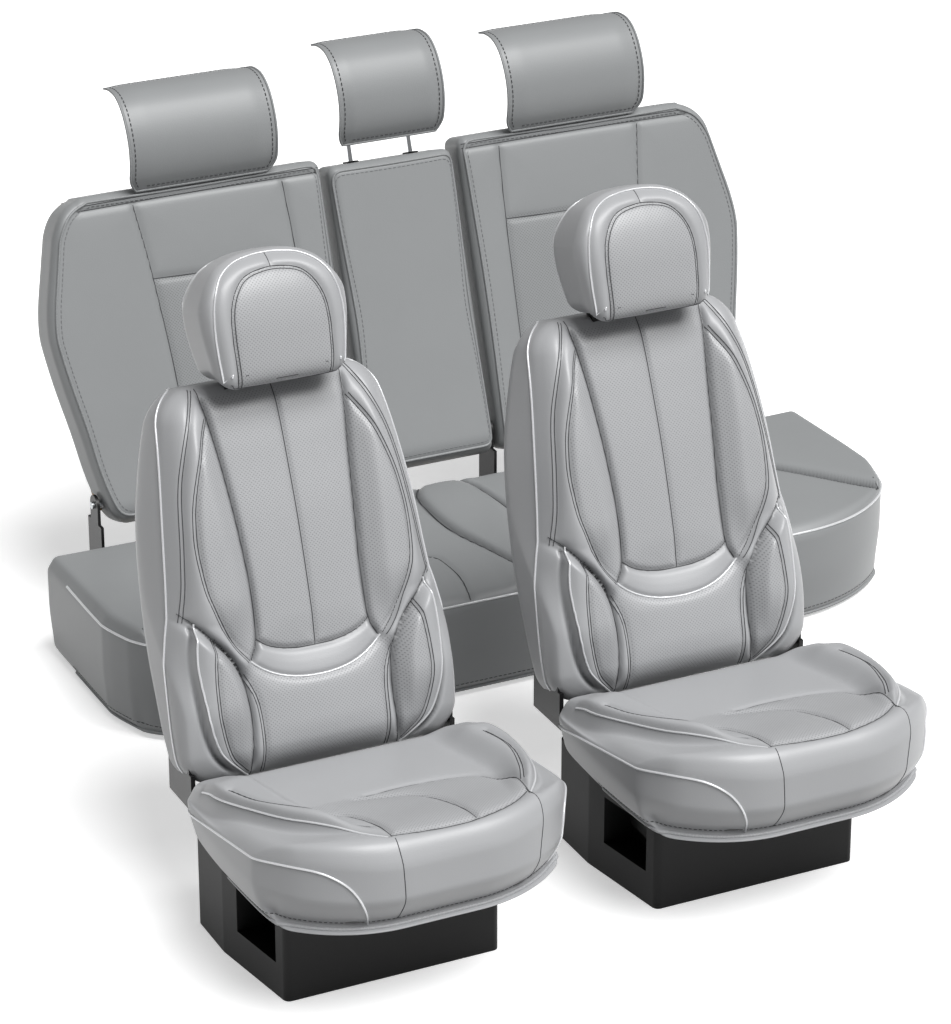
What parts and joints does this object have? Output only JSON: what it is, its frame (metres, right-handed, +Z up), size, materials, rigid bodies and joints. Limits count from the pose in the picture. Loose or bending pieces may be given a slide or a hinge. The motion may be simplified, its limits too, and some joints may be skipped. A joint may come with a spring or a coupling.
{
  "type": "seat cover set",
  "caption": "Fitted grey leatherette seat covers on two front bucket seats and a split folding rear bench, with headrest covers, piping and perforated panels.",
  "frame": {"origin": "on the floor, under the middle of the whole set", "axes": "+Z up, the seats face -Y, and +X is to the right in a view along +Y"},
  "size_m": [1.837, 1.9498, 1.1229],
  "materials": {
    "front_leatherette": "light grey leatherette, fine grain, satin, with perforated panels",
    "rear_leatherette": "mid grey leatherette, fine grain, satin",
    "silver_piping": "silver-grey welt cord, satin",
    "seam_thread": "grey polyester thread",
    "moulded_foam": "moulded polyurethane foam",
    "black_plastic": "moulded black, fine texture",
    "black_steel": "satin black powder coat",
    "zinc_steel": "zinc plated",
    "chrome_rod": "polished chrome",
    "plywood": "plain birch plywood",
    "webbing": "black elastic webbing"
  },
  "bodies": {
    "floor_units": {"plinth_left": "black_plastic", "slide_rails_left": "zinc_steel", "plinth_right": "black_plastic", "slide_rails_right": "zinc_steel", "bench_board": "plywood", "bench_foam": "moulded_foam", "bench_cover": "rear_leatherette", "rear_hinge_brackets": "black_steel", "rear_hinge_pins": "zinc_steel"},
    "seat_left": {"rail_runners_left": "zinc_steel", "seat_pan_left": "black_steel", "cushion_foam_left": "moulded_foam", "cushion_cover_left": "front_leatherette", "cushion_straps_left": "webbing", "strap_buckle_left": "black_plastic", "recliner_brackets_left": "black_steel", "hinge_pins_left": "zinc_steel"},
    "slide_lever_left": {"slide_lever_left": "black_plastic"},
    "back_left": {"back_frame_left": "black_steel", "back_foam_left": "moulded_foam", "back_cover_left": "front_leatherette", "headrest_sleeves_left": "black_plastic"},
    "headrest_left": {"headrest_posts_left": "chrome_rod", "headrest_foam_left": "moulded_foam", "headrest_cover_left": "front_leatherette"},
    "seat_right": {"rail_runners_right": "zinc_steel", "seat_pan_right": "black_steel", "cushion_foam_right": "moulded_foam", "cushion_cover_right": "front_leatherette", "cushion_straps_right": "webbing", "strap_buckle_right": "black_plastic", "recliner_brackets_right": "black_steel", "hinge_pins_right": "zinc_steel"},
    "slide_lever_right": {"slide_lever_right": "black_plastic"},
    "back_right": {"back_frame_right": "black_steel", "back_foam_right": "moulded_foam", "back_cover_right": "front_leatherette", "headrest_sleeves_right": "black_plastic"},
    "headrest_right": {"headrest_posts_right": "chrome_rod", "headrest_foam_right": "moulded_foam", "headrest_cover_right": "front_leatherette"},
    "rear_back_left": {"rear_left_board": "plywood", "rear_left_foam": "moulded_foam", "rear_left_cover": "rear_leatherette", "rear_left_headrest_sleeves": "black_plastic"},
    "rear_headrest_left": {"rear_left_headrest_hoop": "chrome_rod", "rear_left_headrest_cover": "rear_leatherette"},
    "rear_back_middle": {"rear_middle_board": "plywood", "rear_middle_foam": "moulded_foam", "rear_middle_cover": "rear_leatherette", "rear_middle_headrest_sleeves": "black_plastic"},
    "rear_headrest_middle": {"rear_middle_headrest_hoop": "chrome_rod", "rear_middle_headrest_cover": "rear_leatherette"},
    "rear_back_right": {"rear_right_board": "plywood", "rear_right_foam": "moulded_foam", "rear_right_cover": "rear_leatherette", "rear_right_headrest_sleeves": "black_plastic"},
    "rear_headrest_right": {"rear_right_headrest_hoop": "chrome_rod", "rear_right_headrest_cover": "rear_leatherette"}
  },
  "joints": [
    {"name": "seat_left_slide", "type": "slide", "parent": "floor_units", "child": "seat_left", "axis": [0, -1, 0], "range_m": [0, 0.12]},
    {"name": "slide_lever_left_pull", "type": "hinge", "parent": "floor_units", "child": "slide_lever_left", "pos_m": [-0.802, -0.62328, 0.107], "axis": [-1, 0, 0], "range_deg": [0, 15], "stiffness_Nm_per_rad": 0.5, "springref_deg": -5.73},
    {"name": "back_left_recline", "type": "hinge", "parent": "seat_left", "child": "back_left", "pos_m": [-0.641, -0.42828, 0.33], "axis": [1, 0, 0], "range_deg": [-25, 20]},
    {"name": "headrest_left_lift", "type": "slide", "parent": "back_left", "child": "headrest_left", "axis": [0, 0.3173, 0.9483], "range_m": [0, 0.06]},
    {"name": "seat_right_slide", "type": "slide", "parent": "floor_units", "child": "seat_right", "axis": [0, -1, 0], "range_m": [0, 0.12]},
    {"name": "slide_lever_right_pull", "type": "hinge", "parent": "floor_units", "child": "slide_lever_right", "pos_m": [-0.112, -0.62328, 0.107], "axis": [-1, 0, 0], "range_deg": [0, 15], "stiffness_Nm_per_rad": 0.5, "springref_deg": -5.73},
    {"name": "back_right_recline", "type": "hinge", "parent": "seat_right", "child": "back_right", "pos_m": [0.049, -0.42828, 0.33], "axis": [1, 0, 0], "range_deg": [-25, 20]},
    {"name": "headrest_right_lift", "type": "slide", "parent": "back_right", "child": "headrest_right", "axis": [0, 0.3173, 0.9483], "range_m": [0, 0.06]},
    {"name": "rear_left_fold", "type": "hinge", "parent": "floor_units", "child": "rear_back_left", "pos_m": [0.089, 0.67572, 0.272], "axis": [1, 0, 0], "range_deg": [0, 100]},
    {"name": "rear_headrest_left_lift", "type": "slide", "parent": "rear_back_left", "child": "rear_headrest_left", "axis": [0, 0.3305, 0.9438], "range_m": [0, 0.05]},
    {"name": "rear_middle_fold", "type": "hinge", "parent": "floor_units", "child": "rear_back_middle", "pos_m": [0.089, 0.67572, 0.272], "axis": [1, 0, 0], "range_deg": [0, 100]},
    {"name": "rear_headrest_middle_lift", "type": "slide", "parent": "rear_back_middle", "child": "rear_headrest_middle", "axis": [0, 0.3305, 0.9438], "range_m": [0, 0.05]},
    {"name": "rear_right_fold", "type": "hinge", "parent": "floor_units", "child": "rear_back_right", "pos_m": [0.089, 0.67572, 0.272], "axis": [1, 0, 0], "range_deg": [0, 100]},
    {"name": "rear_headrest_right_lift", "type": "slide", "parent": "rear_back_right", "child": "rear_headrest_right", "axis": [0, 0.3305, 0.9438], "range_m": [0, 0.05]}
  ]
}
